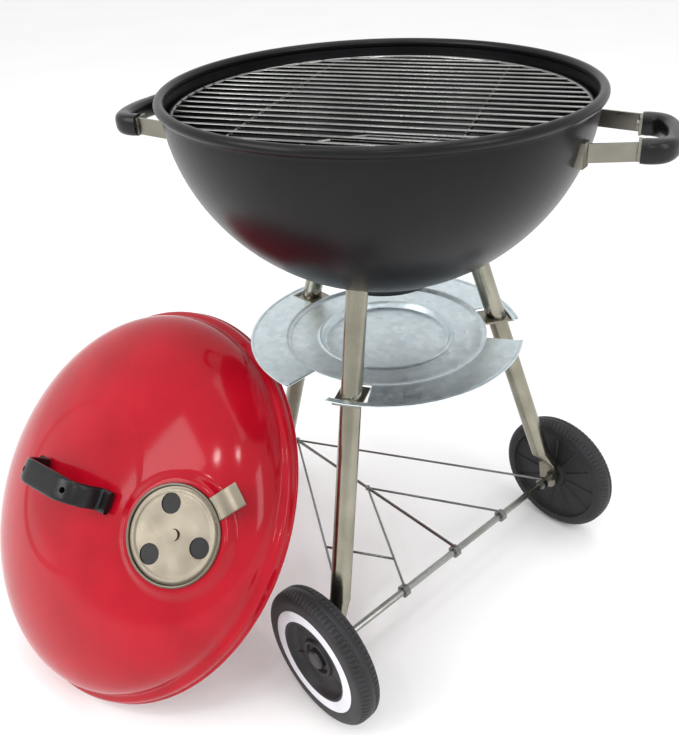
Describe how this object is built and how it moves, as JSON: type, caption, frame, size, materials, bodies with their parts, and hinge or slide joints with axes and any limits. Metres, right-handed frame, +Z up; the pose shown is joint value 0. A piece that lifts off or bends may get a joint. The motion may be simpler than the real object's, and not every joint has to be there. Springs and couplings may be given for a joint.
{
  "type": "kettle charcoal grill",
  "caption": "Round black enamelled kettle grill on a wheeled tripod of plated tubes, with an ash tray, wire shelf, side handles and a red domed lid with vent and handle leaning beside it.",
  "frame": {"origin": "on the floor, under the middle of the bowl", "axes": "+Z up along the bowl's axis; -Y towards the front leg; the bowl's two handles lie along X, with the lid leaning at -X -Y"},
  "size_m": [0.7546, 0.5423, 0.62],
  "materials": {
    "black_enamel": "glossy vitreous enamel",
    "red_enamel": "glossy vitreous enamel",
    "nickel_tube": "nickel-plated tube, polished",
    "nickel_plate": "nickel-plated strip, satin",
    "galvanised_sheet": "pressed sheet, satin",
    "damper_plate": "nickel-plated pressing, satin",
    "steel_rod": "bright rod",
    "zinc_screw": "bright zinc",
    "shelf_wire": "chrome-plated wire",
    "grate_wire": "chrome-plated wire",
    "wheel_plastic": "moulded, satin",
    "white_band": "moulded, smooth",
    "black_cap": "moulded",
    "handle_plastic": "moulded phenolic, glossy",
    "black_rubber": "moulded"
  },
  "bodies": {
    "stand": {"bowl": "black_enamel", "leg_spigots": "black_enamel", "front_leg": "nickel_tube", "right_leg": "nickel_tube", "back_leg": "nickel_tube", "back_foot": "black_rubber", "leg_screws": "zinc_screw", "axle": "steel_rod", "axle_washers": "steel_rod", "front_hub_cap": "black_cap", "right_hub_cap": "black_cap", "wire_shelf": "shelf_wire", "tray_clips": "nickel_plate", "grid_brackets": "black_enamel", "grate_brackets": "black_enamel", "left_handle_straps": "nickel_plate", "left_handle_grip": "handle_plastic", "right_handle_straps": "nickel_plate", "right_handle_grip": "handle_plastic", "handle_screws": "zinc_screw", "bowl_damper_rivet": "steel_rod"},
    "front_wheel_body": {"front_wheel": "wheel_plastic", "front_wheel_ring": "white_band"},
    "right_wheel_body": {"right_wheel": "wheel_plastic", "right_wheel_ring": "white_band"},
    "ash_tray_body": {"ash_tray": "galvanised_sheet"},
    "cooking_grid_body": {"cooking_grid": "grate_wire"},
    "charcoal_grate_body": {"charcoal_grate": "grate_wire"},
    "bowl_damper_body": {"bowl_damper": "damper_plate"},
    "lid_body": {"lid": "red_enamel", "lid_handle": "handle_plastic", "lid_handle_screws": "zinc_screw", "lid_damper_rivet": "steel_rod"},
    "lid_damper_body": {"lid_damper": "damper_plate"}
  },
  "joints": [
    {"name": "front_wheel_spin", "type": "hinge", "parent": "stand", "child": "front_wheel_body", "pos_m": [-0.0105, -0.23619, 0.078], "axis": [0.5, 0.866, 0], "continuous": true},
    {"name": "right_wheel_spin", "type": "hinge", "parent": "stand", "child": "right_wheel_body", "pos_m": [0.19929, 0.12719, 0.078], "axis": [0.5, 0.866, 0], "continuous": true},
    {"name": "ash_tray_twist", "type": "hinge", "parent": "stand", "child": "ash_tray_body", "pos_m": [0, 0, 0.342], "axis": [0, 0, 1], "range_deg": [0, 17]},
    {"name": "cooking_grid_lift", "type": "slide", "parent": "stand", "child": "cooking_grid_body", "axis": [0, 0, 1], "range_m": [0, 0.25]},
    {"name": "charcoal_grate_lift", "type": "slide", "parent": "stand", "child": "charcoal_grate_body", "axis": [0, 0, 1], "range_m": [0, 0.05]},
    {"name": "bowl_damper_turn", "type": "hinge", "parent": "stand", "child": "bowl_damper_body", "pos_m": [0, 0, 0.415], "axis": [0, 0, 1], "range_deg": [0, 60]},
    {"name": "lid_carry", "type": "slide", "parent": "stand", "child": "lid_body", "axis": [-0.6124, -0.3536, 0.7071], "range_m": [0, 0.35]},
    {"name": "lid_damper_turn", "type": "hinge", "parent": "lid_body", "child": "lid_damper_body", "pos_m": [-0.14928, -0.25646, 0.23265], "axis": [0.0058, -0.7655, 0.6434], "range_deg": [0, 60]}
  ]
}
